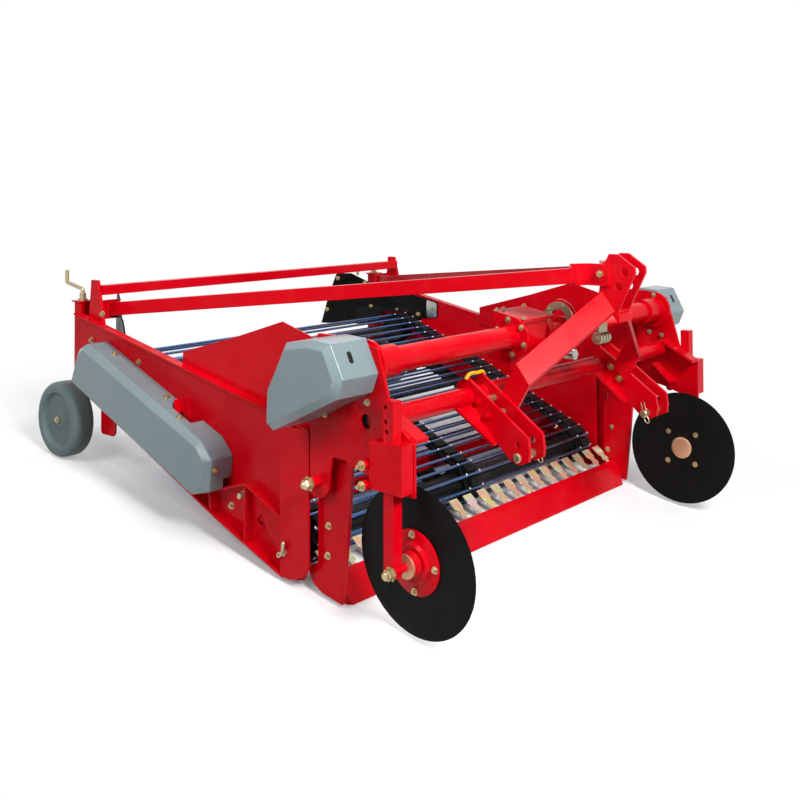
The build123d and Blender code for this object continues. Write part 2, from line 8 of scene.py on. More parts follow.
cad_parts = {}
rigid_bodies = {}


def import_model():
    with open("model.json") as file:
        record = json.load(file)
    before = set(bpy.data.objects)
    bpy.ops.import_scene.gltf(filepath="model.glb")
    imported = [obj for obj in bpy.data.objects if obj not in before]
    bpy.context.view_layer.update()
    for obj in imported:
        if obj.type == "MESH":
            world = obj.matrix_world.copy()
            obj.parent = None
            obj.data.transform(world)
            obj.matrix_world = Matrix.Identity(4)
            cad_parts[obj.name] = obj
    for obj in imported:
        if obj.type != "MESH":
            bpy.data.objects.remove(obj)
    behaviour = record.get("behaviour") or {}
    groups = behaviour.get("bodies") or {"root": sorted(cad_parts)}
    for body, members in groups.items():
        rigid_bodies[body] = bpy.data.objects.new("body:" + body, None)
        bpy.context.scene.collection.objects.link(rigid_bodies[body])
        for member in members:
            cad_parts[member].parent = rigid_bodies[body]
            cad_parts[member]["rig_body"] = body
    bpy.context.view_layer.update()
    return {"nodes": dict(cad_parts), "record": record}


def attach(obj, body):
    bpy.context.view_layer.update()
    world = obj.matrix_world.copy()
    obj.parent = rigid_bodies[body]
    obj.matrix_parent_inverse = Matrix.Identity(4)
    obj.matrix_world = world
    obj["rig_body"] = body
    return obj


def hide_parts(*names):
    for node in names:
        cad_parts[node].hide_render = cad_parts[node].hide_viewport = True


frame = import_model()

# ------------------------------------------------------------------ how the machine stands
# Every size below is in metres in the machine's own level frame, Y from the share's edge to the rear.
# The machine parks laid back on its share and its two rear wheels, and the lower hitch pin says how far.
PARK = math.radians(8.685)
hitch_pin = next(m for m in frame["record"]["mounts"] if m["name"] == "lower_pin_left")
PIN_Y, PIN_Z = -0.341, 0.416
lay_back = Matrix.Rotation(-PARK, 4, "X")
stand = Vector(hitch_pin["pos_m"]) - lay_back @ Vector((hitch_pin["pos_m"][0], PIN_Y, PIN_Z))
lay_back = Matrix.Translation(stand) @ lay_back


# ------------------------------------------------------------------ camera
# One long lens from the right-hand front corner, at a tall person's eye height.
eye = bpy.data.cameras.new("eye")
eye.lens, eye.sensor_width, eye.shift_y = 46.2, 36, -0.2992
camera = bpy.data.objects.new("camera", eye)
bpy.context.collection.objects.link(camera)
right = Vector((0.65557559, -0.74677237, 0.1120342))
up = Vector((-0.01840876, 0.13251518, 0.99101001))
ahead = Vector((0.75490513, 0.65174439, -0.07312657))
EYE_PLACE = (-3.0159, -2.4995, 1.5315)
camera.matrix_world = Matrix.Translation(EYE_PLACE) @ Matrix((right, up, -ahead)).transposed().to_4x4()
bpy.context.scene.camera = camera


# ------------------------------------------------------------------ floor and light
# A white floor that runs out into a white room, a broad lamp over the hitch end and a weak one beside it.
# The floor keeps the machine's shadow, and only what looks at it straight or in gloss sees it as white.
def knot(tree, kind, given=None, **settings):
    """A node of a tree, its inputs filled from plain values or from other nodes' sockets."""
    made = tree.nodes.new(kind)
    for label, value in settings.items():
        setattr(made, label, value)
    for place, value in (given or {}).items():
        if isinstance(value, bpy.types.NodeSocket):
            tree.links.new(value, made.inputs[place])
        else:
            made.inputs[place].default_value = value
    return made


def rays_that_show(tree):
    """1 for rays that show the background: the camera's, and those that gloss or glass sends on."""
    ray = knot(tree, "ShaderNodeLightPath").outputs
    straight = knot(tree, "ShaderNodeMath", {0: ray["Is Camera Ray"], 1: ray["Is Glossy Ray"]},
                    operation="MAXIMUM")
    return knot(tree, "ShaderNodeMath", {0: straight.outputs[0], 1: ray["Is Transmission Ray"]},
                operation="MAXIMUM").outputs[0]


FLOOR_HALF = 60
FLOOR_WHITE, FLOOR_BOUNCE = 0.98, 0.30
FADE_FROM, FADE_TO = 0.8, 2.0
floor_mesh = bpy.data.meshes.new("floor")
floor_corners = [(x * FLOOR_HALF, y * FLOOR_HALF, 0) for x, y in ((-1, -1), (1, -1), (1, 1), (-1, 1))]
floor_mesh.from_pydata(floor_corners, [], [(0, 1, 2, 3)])
floor = bpy.data.objects.new("floor", floor_mesh)
bpy.context.collection.objects.link(floor)
floor_look = bpy.data.materials.new("pale_floor")
floor_look.use_nodes = True
tree = floor_look.node_tree
shown = rays_that_show(tree)
tone = knot(tree, "ShaderNodeMapRange", {"Value": shown, "To Min": FLOOR_BOUNCE, "To Max": FLOOR_WHITE})
floor_shader = tree.nodes["Principled BSDF"]
floor_shader.inputs["Roughness"].default_value = 0.9
floor_shader.inputs["Specular IOR Level"].default_value = 0.0
tree.links.new(tone.outputs[0], floor_shader.inputs["Base Color"])
spot = knot(tree, "ShaderNodeTexCoord").outputs["Object"]
away = knot(tree, "ShaderNodeVectorMath", {0: spot}, operation="LENGTH").outputs["Value"]
fade = knot(tree, "ShaderNodeMapRange", {"Value": away, "From Min": FADE_FROM, "From Max": FADE_TO})
fade = knot(tree, "ShaderNodeMath", {0: fade.outputs[0], 1: shown}, operation="MULTIPLY")
room = knot(tree, "ShaderNodeEmission", {"Color": (1, 1, 1, 1), "Strength": 1.0})
whole = knot(tree, "ShaderNodeMixShader", {0: fade.outputs[0], 1: floor_shader.outputs[0],
                                           2: room.outputs[0]})
tree.links.new(whole.outputs[0], tree.nodes["Material Output"].inputs["Surface"])
floor_mesh.materials.append(floor_look)

for name, place, aim, size, power in (("hitch_end_lamp", (-1.7, -4.2, 4.4), (0, 0, 0.4), 1.6, 385),
                                      ("right_hand_lamp", (-5.0, 0.2, 3.4), (0, 0, 0.4), 2.2, 120),
                                      ("far_lamp", (3.0, 3.6, 4.2), (0, 0, 0.5), 2.4, 70)):
    lamp = bpy.data.lights.new(name, "AREA")
    lamp.shape, lamp.size, lamp.energy = "SQUARE", size, power
    holder = bpy.data.objects.new(name, lamp)
    bpy.context.collection.objects.link(holder)
    holder.location = place
    holder.rotation_euler = (Vector(aim) - Vector(place)).to_track_quat("-Z", "Y").to_euler()

world = bpy.data.worlds.new("studio")
bpy.context.scene.world = world
world.use_nodes = True
tree = world.node_tree
sky = tree.nodes["Background"]
sky.inputs["Color"].default_value = (0.86, 0.93, 1.0, 1)
sky.inputs["Strength"].default_value = 0.27
seen = knot(tree, "ShaderNodeBackground", {"Color": (1, 1, 1, 1), "Strength": 1.0})
choose = knot(tree, "ShaderNodeMixShader", {0: rays_that_show(tree), 1: sky.outputs[0], 2: seen.outputs[0]})
tree.links.new(choose.outputs[0], tree.nodes["World Output"].inputs["Surface"])
bpy.context.scene.view_settings.view_transform = "Standard"


# ------------------------------------------------------------------ side frames
# Sheet and plate cut to outline, welded, then sprayed in a thick gloss red.
# The paint pulls off the edges a little, ripples over the sheet and gathers dust in patches.
def cloud(tree, where, scale, detail, low, high, spread=(0.35, 0.68)):
    """Noise over a surface, stretched between two values."""
    noise = knot(tree, "ShaderNodeTexNoise", {"Vector": where, "Scale": scale, "Detail": detail})
    return knot(tree, "ShaderNodeMapRange", {"Value": noise.outputs["Fac"], "From Min": spread[0],
                                             "From Max": spread[1], "To Min": low, "To Max": high}).outputs[0]


def mixed(tree, share, first, second):
    """One colour laid over another by a share."""
    blend = knot(tree, "ShaderNodeMix", {"Factor": share}, data_type="RGBA")
    for label, colour in (("A", first), ("B", second)):
        if isinstance(colour, bpy.types.NodeSocket):
            tree.links.new(colour, blend.inputs[label])
        else:
            blend.inputs[label].default_value = (*colour, 1)
    return blend.outputs["Result"]


def painted(name, colour, shade, roughness, gloss=0.5, ripple=0.25, coat=0.0, dust=0.04, metal=0.0,
            dust_colour=(0.30, 0.24, 0.19)):
    """A finish: a slow drift of colour, a fine ripple and a film of dust in patches."""
    look = bpy.data.materials.new(name)
    look.use_nodes = True
    tree = look.node_tree
    shader = tree.nodes["Principled BSDF"]
    shader.inputs["Specular IOR Level"].default_value = gloss
    shader.inputs["Coat Weight"].default_value = coat
    shader.inputs["Coat Roughness"].default_value = 0.08
    shader.inputs["Metallic"].default_value = metal
    where = knot(tree, "ShaderNodeTexCoord").outputs["Object"]
    drift = mixed(tree, cloud(tree, where, 2.2, 4, 0, 1), colour, shade)
    tree.links.new(mixed(tree, cloud(tree, where, 14, 8, 0, dust, (0.5, 0.8)), drift, dust_colour),
                   shader.inputs["Base Color"])
    tree.links.new(cloud(tree, where, 9, 6, roughness - 0.05, roughness + 0.08), shader.inputs["Roughness"])
    peel = knot(tree, "ShaderNodeTexNoise", {"Vector": where, "Scale": 240, "Detail": 2})
    bump = knot(tree, "ShaderNodeBump", {"Height": peel.outputs["Fac"], "Strength": ripple,
                                         "Distance": 0.0004})
    tree.links.new(bump.outputs["Normal"], shader.inputs["Normal"])
    return look


def turned(profile, centre, way=(1, 0, 0), steps=48):
    """A turned shape: (along, radius) rows about an axis, closed on the axis or back on itself."""
    turn = Vector(way).to_track_quat("X", "Z").to_matrix()
    work = bmesh.new()
    rings = []
    for along, radius in profile:
        count = steps if radius else 1
        rings.append([work.verts.new(Vector(centre) + turn @ Vector(
            (along, radius * math.cos(math.tau * k / count), radius * math.sin(math.tau * k / count))))
            for k in range(count)])
    pairs = list(zip(rings, rings[1:]))
    if profile[0][1] and profile[-1][1]:
        pairs.append((rings[-1], rings[0]))
    for near, far in pairs:
        for k in range(steps):
            corners = (near[k % len(near)], near[(k + 1) % len(near)],
                       far[(k + 1) % len(far)], far[k % len(far)])
            work.faces.new(list(dict.fromkeys(corners)))
    bmesh.ops.recalc_face_normals(work, faces=work.faces)
    mesh = bpy.data.meshes.new("turned")
    work.to_mesh(mesh)
    work.free()
    return mesh


def smoothed(mesh, angle=38):
    """Rounds the shading of a mesh, and keeps its corners crisp."""
    mesh.polygons.foreach_set("use_smooth", [True] * len(mesh.polygons))
    mesh.set_sharp_from_angle(angle=math.radians(angle))
    return mesh


DRILL_REACH = 0.02


def coat_node(name, look, edge=0.0012, holes=()):
    """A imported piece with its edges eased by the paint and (centre, way, radius, sides) holes drilled."""
    solid = frame["nodes"][name]
    mesh = solid.data.copy()
    mesh.materials.clear()
    work = bmesh.new()
    work.from_mesh(mesh)
    bmesh.ops.remove_doubles(work, verts=work.verts, dist=1e-5)
    bmesh.ops.dissolve_limit(work, angle_limit=math.radians(0.5), verts=work.verts, edges=work.edges)
    work.to_mesh(mesh)
    work.free()
    piece = bpy.data.objects.new(name + "_coated", smoothed(mesh))
    bpy.context.collection.objects.link(piece)
    drills = []
    for centre, way, radius, sides in holes:
        drill = bpy.data.objects.new("drill", turned(
            [(-DRILL_REACH, 0), (-DRILL_REACH, radius), (DRILL_REACH, radius), (DRILL_REACH, 0)],
            centre, way, sides))
        drill.data.transform(lay_back)
        bpy.context.collection.objects.link(drill)
        cut = piece.modifiers.new("cut", "BOOLEAN")
        cut.object, cut.operation, cut.solver = drill, "DIFFERENCE", "EXACT"
        drills.append(drill)
    ease = piece.modifiers.new("ease", "BEVEL")
    ease.width, ease.segments, ease.angle_limit = edge, 2, math.radians(35)
    ease.limit_method, ease.harden_normals = "ANGLE", True
    eased = bpy.data.meshes.new_from_object(piece.evaluated_get(bpy.context.evaluated_depsgraph_get()))
    piece.modifiers.clear()
    for drill in drills:
        bpy.data.objects.remove(drill)
    piece.data = eased
    eased.materials.clear()
    eased.materials.append(look)
    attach(piece, solid["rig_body"])
    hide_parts(name)
    return piece


RED, DEEP_RED = (0.66, 0.0005, 0.009), (0.56, 0.0, 0.005)
red_paint = painted("red_paint", RED, DEEP_RED, 0.24, gloss=0.10, ripple=0.2, dust=0.025)
PLATE_INSIDE, PLATE_FACE, WALL_FACE, OUTER_MIDDLE, OUTER_FACE = 0.836, 0.848, 0.854, 0.877, 0.882
ROUND_HOLE, SQUARE_HOLE, PLATE_HOLE = (0.114, 0.347), (0.3545, 0.184), (-0.121, 0.566)
OUT = {1: (1, 0, 0), -1: (-1, 0, 0)}
for side, k in (("left", 1), ("right", -1)):
    for name in ("guard", "upright", "post"):
        coat_node(f"{name}_{side}", red_paint)
    window = [((k * PLATE_FACE, *ROUND_HOLE), OUT[k], 0.030, 28)]
    coat_node(f"side_wall_{side}", red_paint, 0.0015,
                      window + [((k * WALL_FACE, *SQUARE_HOLE), OUT[k], 0.017, 4)])
    coat_node(f"share_plate_{side}", red_paint, 0.0015, window)
    coat_node(f"outer_plate_{side}", red_paint, 0.0012,
                      [((k * OUTER_MIDDLE, *PLATE_HOLE), OUT[k], 0.021, 28)])
coat_node("rear_bar", red_paint)
coat_node("cross_tube", red_paint)

# ------------------------------------------------------------------ zinc-plated fasteners
# Hexagon bolts with washers, plated yellow, each with a short plain stub.
# Dome nuts, spacers and spring clips are turned or bent from the same plated steel.
zinc = painted("zinc_yellow", (0.52, 0.40, 0.19), (0.42, 0.37, 0.27), 0.32, ripple=0.12, dust=0.3, metal=0.8,
               dust_colour=(0.20, 0.13, 0.06))

bolt_tree = bpy.data.node_groups.new("hexagon_bolts", "GeometryNodeTree")


def opened(tree, *sizes):
    """Gives a tree its named inputs, a Look among them, and returns what they supply and where it ends."""
    tree.interface.new_socket("Geometry", in_out="INPUT", socket_type="NodeSocketGeometry")
    for label, kind, value in sizes:
        given = tree.interface.new_socket(label, in_out="INPUT", socket_type="NodeSocket" + kind)
        given.default_value = value
    tree.interface.new_socket("Look", in_out="INPUT", socket_type="NodeSocketMaterial")
    tree.interface.new_socket("Geometry", in_out="OUTPUT", socket_type="NodeSocketGeometry")
    return tree.nodes.new("NodeGroupInput").outputs, tree.nodes.new("NodeGroupOutput")


def closed(tree, given, instances, end):
    """Ends a tree: real meshes, in their material."""
    real = knot(tree, "GeometryNodeRealizeInstances", {0: instances})
    dressed = knot(tree, "GeometryNodeSetMaterial", {"Geometry": real.outputs[0], "Material": given["Look"]})
    tree.links.new(dressed.outputs[0], end.inputs[0])


def facing(tree):
    """Turns each instance's Z towards the `way` kept on its point."""
    way = knot(tree, "GeometryNodeInputNamedAttribute", {"Name": "way"}, data_type="FLOAT_VECTOR")
    return knot(tree, "FunctionNodeAlignRotationToVector", {"Vector": way.outputs["Attribute"]},
                axis="Z").outputs["Rotation"]


def grown(tree, mesh, name, **sizes):
    """What a tree makes of a seat mesh, its inputs set by name, as a plain mesh."""
    sockets = {item.name: item.identifier for item in tree.interface.items_tree if item.in_out == "INPUT"}
    holder = bpy.data.objects.new(name, mesh)
    bpy.context.collection.objects.link(holder)
    grow = holder.modifiers.new("grow", "NODES")
    grow.node_group = tree
    for label, value in sizes.items():
        grow[sockets[label.replace("_", " ")]] = value
    made = bpy.data.meshes.new_from_object(holder.evaluated_get(bpy.context.evaluated_depsgraph_get()))
    bpy.data.objects.remove(holder)
    return made


def seats(rows):
    """Points at (x, y, z, way) rows, `way` the direction that something on them faces."""
    mesh = bpy.data.meshes.new("seats")
    mesh.from_pydata([row[:3] for row in rows], [], [])
    ways = mesh.attributes.new("way", "FLOAT_VECTOR", "POINT")
    ways.data.foreach_set("vector", [value for row in rows for value in row[3]])
    return mesh


given, end = opened(bolt_tree, ("Across", "Float", 0.012), ("Head", "Float", 0.011),
                    ("Washer", "Float", 0.017), ("Washer Thick", "Float", 0.003),
                    ("Stub", "Float", 0.006), ("Stub Radius", "Float", 0.006))
one_bolt = knot(bolt_tree, "GeometryNodeJoinGeometry")
head_top = knot(bolt_tree, "ShaderNodeMath", {0: given["Washer Thick"], 1: given["Head"]}).outputs[0]
for sides, radius, depth, base in ((28, given["Washer"], given["Washer Thick"], None),
                                   (6, given["Across"], given["Head"], given["Washer Thick"]),
                                   (14, given["Stub Radius"], given["Stub"], head_top)):
    drum = knot(bolt_tree, "GeometryNodeMeshCylinder", {"Vertices": sides, "Radius": radius, "Depth": depth})
    middle = knot(bolt_tree, "ShaderNodeMath", {0: depth, 1: 0.5, 2: base if base else 0.0},
                  operation="MULTIPLY_ADD")
    lift = knot(bolt_tree, "ShaderNodeCombineXYZ", {"Z": middle.outputs[0]})
    moved = knot(bolt_tree, "GeometryNodeTransform", {"Geometry": drum.outputs["Mesh"],
                                                      "Translation": lift.outputs[0]})
    bolt_tree.links.new(moved.outputs[0], one_bolt.inputs[0])
points = knot(bolt_tree, "GeometryNodeMeshToPoints", {"Mesh": given["Geometry"]})
set_out = knot(bolt_tree, "GeometryNodeInstanceOnPoints",
               {"Points": points.outputs[0], "Instance": one_bolt.outputs[0], "Rotation": facing(bolt_tree)})
closed(bolt_tree, given, set_out.outputs[0], end)


def fitted(name, body, look, slot, *meshes):
    """Joins level meshes into one piece, lays it back with the machine and hangs it on a body."""
    work = bmesh.new()
    for mesh in meshes:
        work.from_mesh(mesh)
        bpy.data.meshes.remove(mesh)
    whole = bpy.data.meshes.new(name)
    work.to_mesh(whole)
    work.free()
    whole.transform(lay_back)
    whole.materials.clear()
    whole.materials.append(look)
    piece = bpy.data.objects.new(name, smoothed(whole))
    bpy.context.collection.objects.link(piece)
    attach(piece, body)
    return piece


def bolts(name, body, rows, size=0.010, look=None, slot="zinc", **sizes):
    """Bolts at (x, y, z, way) rows, sized by half the width of their heads."""
    values = {"Across": size * 1.15, "Head": size * 0.9, "Washer": size * 1.65, "Washer_Thick": size * 0.22,
              "Stub": size * 0.6, "Stub_Radius": size * 0.6}
    values.update(sizes)
    look = look or zinc
    return fitted(name, body, look, slot, grown(bolt_tree, seats(rows), name, Look=look, **values))


for side, k in (("left", 1), ("right", -1)):
    bolts(f"share_plate_bolts_{side}", "frame", [(k * PLATE_FACE, 0.058, 0.229, OUT[k]),
                                                 (k * PLATE_FACE, 0.062, 0.141, OUT[k])], 0.0068)
    bolts(f"share_plate_inner_bolts_{side}", "frame",
          [(k * PLATE_INSIDE, y, z, OUT[-k]) for y, z in ((0.0645, 0.412), (0.0675, 0.221), (0.086, 0.125))]
          + [(k * PLATE_FACE, 0.107, 0.4555, OUT[-k])], 0.006)
    bolts(f"outer_plate_bolts_{side}", "frame", [(k * OUTER_FACE, -0.128, 0.621, OUT[k]),
                                                 (k * OUTER_FACE, 0.0415, 0.564, OUT[k])], 0.0062)
    pivot = turned([(0, 0), (0, 0.022), (0.003, 0.022), (0.003, 0.0175), (0.016, 0.0175), (0.021, 0.015),
                    (0.028, 0.009), (0.031, 0.004), (0.031, 0)], (k * 0.9145, 0.073, 0.364), OUT[k], 6)
    fitted(f"pivot_nut_{side}", "frame", zinc, "zinc", pivot)


def prism(corners, depth, name="prism"):
    """A flat outline of 3-D corners, drawn out by a vector."""
    work = bmesh.new()
    near = [work.verts.new(corner) for corner in corners]
    far = [work.verts.new(Vector(corner) + Vector(depth)) for corner in corners]
    work.faces.new(near)
    work.faces.new(far[::-1])
    for k in range(len(corners)):
        work.faces.new((near[k], far[k], far[(k + 1) % len(corners)], near[(k + 1) % len(corners)]))
    bmesh.ops.recalc_face_normals(work, faces=work.faces)
    mesh = bpy.data.meshes.new(name)
    work.to_mesh(mesh)
    work.free()
    return mesh


def bent(points, radius, order=3):
    """A round bar bent along a smooth line."""
    line = bpy.data.curves.new("bent", "CURVE")
    line.dimensions, line.bevel_depth, line.bevel_resolution, line.use_fill_caps = "3D", radius, 4, True
    spline = line.splines.new("NURBS")
    spline.points.add(len(points) - 1)
    for point, place in zip(spline.points, points):
        point.co = (*place, 1)
    spline.order_u, spline.use_endpoint_u, spline.resolution_u = order, True, 6
    holder = bpy.data.objects.new("bent", line)
    bpy.context.collection.objects.link(holder)
    mesh = bpy.data.meshes.new_from_object(holder.evaluated_get(bpy.context.evaluated_depsgraph_get()))
    bpy.data.objects.remove(holder)
    return mesh


def spring_clip(x, y, z, way):
    """The meshes of a pin's spring clip: one straight leg, one waved leg and a round eye."""
    pull = Vector(way).normalized()
    across = Vector((1, 0, 0)).cross(pull)
    here = Vector((x, y, z))
    route = [(0.045, 0), (0.012, 0), (-0.012, 0.0), (-0.026, 0.004), (-0.030, 0.013), (-0.022, 0.020),
             (-0.012, 0.016), (0.002, 0.010), (0.014, 0.018), (0.028, 0.010), (0.044, 0.013)]
    return bent([here + pull * a + across * b for a, b in route], 0.0021)


for side, k in (("left", 1), ("right", -1)):
    bolts(f"side_wall_bolts_{side}", "frame",
          [(k * WALL_FACE, 1.002, 0.607, OUT[k]), (k * WALL_FACE, 1.304, 0.656, OUT[k]),
           (k * PLATE_FACE, 1.242, 0.758, OUT[k]), (k * WALL_FACE, 0.492, 0.203, OUT[k])], 0.0072)
    fitted(f"rib_pin_{side}", "frame", zinc, "zinc",
           turned([(0, 0), (0, 0.013), (0.004, 0.013), (0.004, 0.010), (0.024, 0.010), (0.026, 0.007),
                   (0.026, 0)], (k * 0.872, 0.4095, 0.258), OUT[k], 6),
           turned([(0, 0), (0, 0.011), (0.008, 0.011), (0.008, 0.006), (0.016, 0.006), (0.016, 0)],
                  (k * 0.882, 0.2135, 0.125), OUT[k], 6),
           bent([(k * 0.892, 0.2135, 0.125), (k * 0.897, 0.205, 0.140), (k * 0.894, 0.203, 0.158),
                 (k * 0.891, 0.214, 0.160), (k * 0.892, 0.2135, 0.125), (k * 0.894, 0.224, 0.112),
                 (k * 0.890, 0.238, 0.110), (k * 0.890, 0.232, 0.124), (k * 0.892, 0.2135, 0.125)], 0.0034))

# ------------------------------------------------------------------ share and its fingers
# The share is painted red like the frame; the fingers behind it are stamped and plated.
# Plating leaves them pale yellow with pink and green tints that drift along each one.
share_paint = painted("share_paint", RED, DEEP_RED, 0.30, gloss=0.10, ripple=0.35, dust=0.04)
coat_node("share", share_paint, 0.001)

finger_zinc = painted("finger_zinc", (0.74, 0.66, 0.40), (0.62, 0.50, 0.50), 0.30, ripple=0.08, dust=0.12,
                      metal=0.55, dust_colour=(0.25, 0.34, 0.22))
tree = finger_zinc.node_tree
tint = knot(tree, "ShaderNodeValToRGB", {0: cloud(tree, knot(tree, "ShaderNodeTexCoord").outputs["Object"],
                                                   17, 3, 0, 1)})
stops = tint.color_ramp.elements
stops[0].color, stops[1].color = (0.80, 0.78, 0.30, 1), (0.80, 0.62, 0.60, 1)
stops.new(0.35).color = (0.86, 0.46, 0.38, 1)
stops.new(0.6).color = (0.66, 0.80, 0.42, 1)
tree.links.new(tint.outputs[0], tree.nodes["Principled BSDF"].inputs["Base Color"])
coat_node("fingers", finger_zinc, 0.0007)

# ------------------------------------------------------------------ rod web
# Round tempered rods riveted to three rubber belts, which run round a front roller, a carrying roller
# and the drive shaft. Each belt carries a cleat between two rods, and two bright rivet heads on each.
ROLLERS = ((0.225, 0.145, 0.054), (0.700, 0.370, 0.040), (1.185, 0.540, 0.054))
BELT_MIDDLES = (-0.762, 0.0, 0.762)
ROD_RADIUS, ROD_PITCH, ROD_HALF = 0.0055, 0.050, 0.802
BELT_LOW, BELT_HIGH = 0.0003, 0.0103
WEB_START, BELT_STEP, RIVET_OFF = 0.010, 0.012, 0.0385


def web_places(grow, pitch, start=0.0):
    """Even (y, z, outward y, outward z) places round the rollers, `grow` off their surfaces."""
    runs, pieces = [], []
    rings = [(y, z, r + grow) for y, z, r in ROLLERS]
    for (ya, za, ra), (yb, zb, rb) in zip(rings, rings[1:] + rings[:1]):
        splay = math.asin((rb - ra) / math.hypot(yb - ya, zb - za))
        lift = math.atan2(zb - za, yb - ya) + math.pi / 2 + splay
        runs.append((lift, (ya + ra * math.cos(lift), za + ra * math.sin(lift)),
                     (yb + rb * math.cos(lift), zb + rb * math.sin(lift))))
    for i, (lift, first, last) in enumerate(runs):
        y, z, r = rings[(i + 1) % 3]
        turn = (lift - runs[(i + 1) % 3][0]) % math.tau
        pieces.append((math.dist(first, last), lambda s, a=first, b=last, t=lift: (
            a[0] + (b[0] - a[0]) * s, a[1] + (b[1] - a[1]) * s, math.cos(t), math.sin(t))))
        pieces.append((r * turn, lambda s, y=y, z=z, r=r, t=lift, turn=turn: (
            y + r * math.cos(t - turn * s), z + r * math.sin(t - turn * s),
            math.cos(t - turn * s), math.sin(t - turn * s))))
    total = sum(length for length, _ in pieces)
    count = round(total / pitch)
    rows = []
    for k in range(count):
        at = (start + k * total / count) % total
        for length, place in pieces:
            if at <= length:
                break
            at -= length
        rows.append(place(min(at / length, 1)))
    return rows


web_tree = bpy.data.node_groups.new("web_rods", "GeometryNodeTree")
given, end = opened(web_tree, ("Rod Radius", "Float", 0.0055), ("Rod Length", "Float", 1.6))
rod = knot(web_tree, "GeometryNodeMeshCylinder", {"Vertices": 14, "Radius": given["Rod Radius"],
                                                  "Depth": given["Rod Length"]})
rod = knot(web_tree, "GeometryNodeTransform", {"Geometry": rod.outputs["Mesh"],
                                               "Rotation": (0, math.pi / 2, 0)})
points = knot(web_tree, "GeometryNodeMeshToPoints", {"Mesh": given["Geometry"]})
set_out = knot(web_tree, "GeometryNodeInstanceOnPoints",
               {"Points": points.outputs[0], "Instance": rod.outputs[0], "Rotation": facing(web_tree)})
closed(web_tree, given, set_out.outputs[0], end)

belt_tree = bpy.data.node_groups.new("web_belt_pieces", "GeometryNodeTree")
given, end = opened(belt_tree, ("Across", "Float", 0.05), ("Along", "Float", 0.02), ("High", "Float", 0.006),
                    ("Ease", "Float", 0.0))
whole_size = knot(belt_tree, "ShaderNodeCombineXYZ", {"X": given["Across"], "Y": given["Along"],
                                                      "Z": given["High"]})
lump = knot(belt_tree, "GeometryNodeMeshCube", {"Size": whole_size.outputs[0], "Vertices X": 5,
                                                "Vertices Y": 3, "Vertices Z": 3})
sphere = knot(belt_tree, "GeometryNodeMeshUVSphere", {"Segments": 16, "Rings": 10, "Radius": 1.0})
half_size = knot(belt_tree, "ShaderNodeVectorMath", {0: whole_size.outputs[0], 1: (0.5, 0.5, 0.5)},
                 operation="MULTIPLY")
sphere = knot(belt_tree, "GeometryNodeTransform", {"Geometry": sphere.outputs["Mesh"],
                                                   "Scale": half_size.outputs[0]})
is_round = knot(belt_tree, "FunctionNodeCompare", {0: given["Ease"], 1: 0.5}, operation="GREATER_THAN")
pick = knot(belt_tree, "GeometryNodeSwitch", {"Switch": is_round.outputs[0], "False": lump.outputs["Mesh"],
                                              "True": sphere.outputs[0]}, input_type="GEOMETRY")
points = knot(belt_tree, "GeometryNodeMeshToPoints", {"Mesh": given["Geometry"]})
set_out = knot(belt_tree, "GeometryNodeInstanceOnPoints",
               {"Points": points.outputs[0], "Instance": pick.outputs[0], "Rotation": facing(belt_tree)})
closed(belt_tree, given, set_out.outputs[0], end)

web_steel = painted("web_steel", (0.06, 0.15, 0.38), (0.12, 0.17, 0.28), 0.22, ripple=0.1, dust=0.25,
                    metal=0.85, dust_colour=(0.20, 0.21, 0.22))
belt_rubber = painted("belt_rubber", (0.008, 0.008, 0.009), (0.016, 0.015, 0.015), 0.6, gloss=0.06,
                      ripple=0.6, dust=0.05)
rivet_steel = painted("rivet_steel", (0.62, 0.62, 0.60), (0.50, 0.49, 0.46), 0.28, metal=0.9, dust=0.1)
rod_rows = web_places(BELT_HIGH + BELT_LOW + ROD_RADIUS, ROD_PITCH, WEB_START)
rods = fitted("web_rods_round", "frame", web_steel, "web_steel",
              grown(web_tree, seats([(0, y, z, (0, ny, nz)) for y, z, ny, nz in rod_rows]), "rods",
                    Look=web_steel, Rod_Radius=ROD_RADIUS, Rod_Length=2 * ROD_HALF))
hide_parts("web_rods")

BELT_HALF = 0.044
belt_meshes = []
for middle in BELT_MIDDLES:
    work = bmesh.new()
    rings = []
    for low, high in zip(web_places(BELT_LOW, BELT_STEP), web_places(BELT_HIGH, BELT_STEP)):
        rings.append([work.verts.new((middle + x, row[0], row[1]))
                      for x, row in ((-BELT_HALF, low), (BELT_HALF, low),
                                     (BELT_HALF, high), (-BELT_HALF, high))])
    for near, far in zip(rings, rings[1:] + rings[:1]):
        for k in range(4):
            work.faces.new((near[k], near[(k + 1) % 4], far[(k + 1) % 4], far[k]))
    bmesh.ops.recalc_face_normals(work, faces=work.faces)
    mesh = bpy.data.meshes.new("belt")
    work.to_mesh(mesh)
    work.free()
    belt_meshes.append(mesh)
cleat_rows = web_places(BELT_HIGH + 0.004, ROD_PITCH, WEB_START + ROD_PITCH / 2)
belt_meshes.append(grown(belt_tree, seats([(x, y, z, (0, ny, nz)) for y, z, ny, nz in cleat_rows
                                           for x in BELT_MIDDLES]), "cleats",
                         Look=belt_rubber, Across=0.056, Along=0.028, High=0.020))
belts = fitted("web_belts_cleated", "frame", belt_rubber, "belt_rubber", *belt_meshes)
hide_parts("web_belts")
stud_rows = web_places(BELT_HIGH + BELT_LOW + 2 * ROD_RADIUS, ROD_PITCH, WEB_START)
fitted("web_rivets", "frame", rivet_steel, "web_steel",
       grown(belt_tree, seats([(x + off, y, z, (0, ny, nz)) for y, z, ny, nz in stud_rows
                               for x in BELT_MIDDLES for off in (-RIVET_OFF, RIVET_OFF)]), "rivets",
             Look=rivet_steel, Across=0.012, Along=0.010, High=0.006, Ease=1.0))

